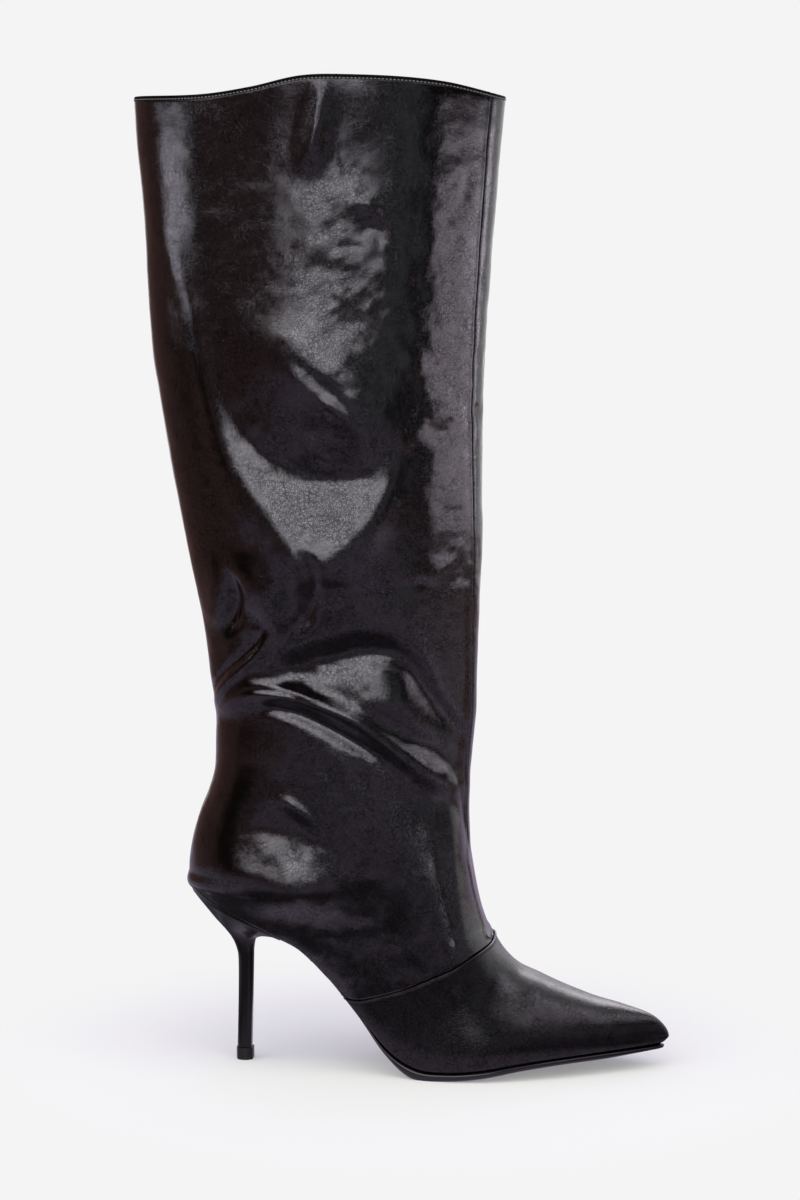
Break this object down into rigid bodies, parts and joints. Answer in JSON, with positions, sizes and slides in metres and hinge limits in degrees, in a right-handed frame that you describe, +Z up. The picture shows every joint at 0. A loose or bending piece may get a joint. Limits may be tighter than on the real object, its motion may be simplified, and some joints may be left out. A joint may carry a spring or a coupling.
{
  "type": "knee-high stiletto boot",
  "caption": "Right-foot knee-high pull-on boot with a pointed toe, a tall slim stiletto heel and a wide straight leg that slouches at the ankle.",
  "frame": {"origin": "on the floor, under the centre of the boot's box", "axes": "+X toward the toe, +Y toward the inner side of the foot, +Z up the leg"},
  "size_m": [0.2565, 0.086, 0.4741],
  "materials": {
    "glossy_leather": "glossy black coated leather with a fine creased grain",
    "sock": "plain black sock lining",
    "sole": "black moulded sole with a polished edge",
    "heel_lacquer": "smooth black lacquer",
    "lift_rubber": "matt black wear cap"
  },
  "bodies": {
    "root": {"upper": "glossy_leather", "insole": "sock", "outsole": "sole", "heel": "heel_lacquer", "top_lift": "lift_rubber"}
  },
  "joints": []
}
